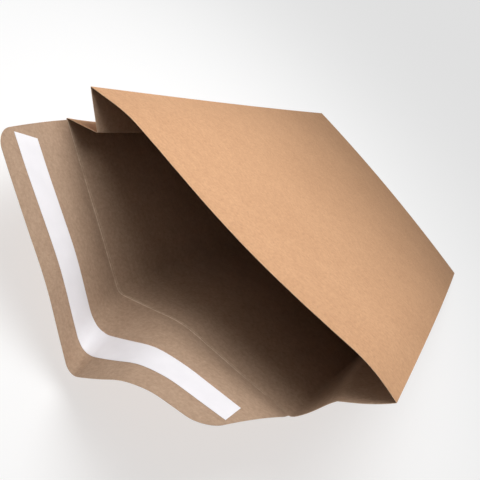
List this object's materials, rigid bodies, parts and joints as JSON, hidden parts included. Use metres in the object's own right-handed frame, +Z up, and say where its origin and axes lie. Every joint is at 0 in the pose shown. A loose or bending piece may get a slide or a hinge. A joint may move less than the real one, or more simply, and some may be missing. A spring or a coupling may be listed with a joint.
{
  "type": "gusseted paper mailer",
  "caption": "Kraft paper mailer with side gussets, lying with its mouth open, with a glued bottom and a peel-and-seal flap.",
  "frame": {"origin": "on the surface it lies on, under the middle of the whole mailer's box", "axes": "+Z up from the back panel to the front panel, -Y out of the open mouth, +Y towards the glued bottom, +X to the right when looking into the bottom's direction"},
  "size_m": [0.2612, 0.4832, 0.1123],
  "materials": {
    "kraft_paper": "matte brown kraft with a fine fibre",
    "release_paper": "smooth white silicone-coated paper",
    "adhesive": "clear tacky film",
    "hot_melt_glue": "pale set glue"
  },
  "bodies": {
    "root": {"mailer_body": "kraft_paper", "release_liner": "release_paper", "flap_adhesive": "adhesive", "side_seam_glue": "hot_melt_glue", "bottom_seam_glue": "hot_melt_glue"}
  },
  "joints": []
}
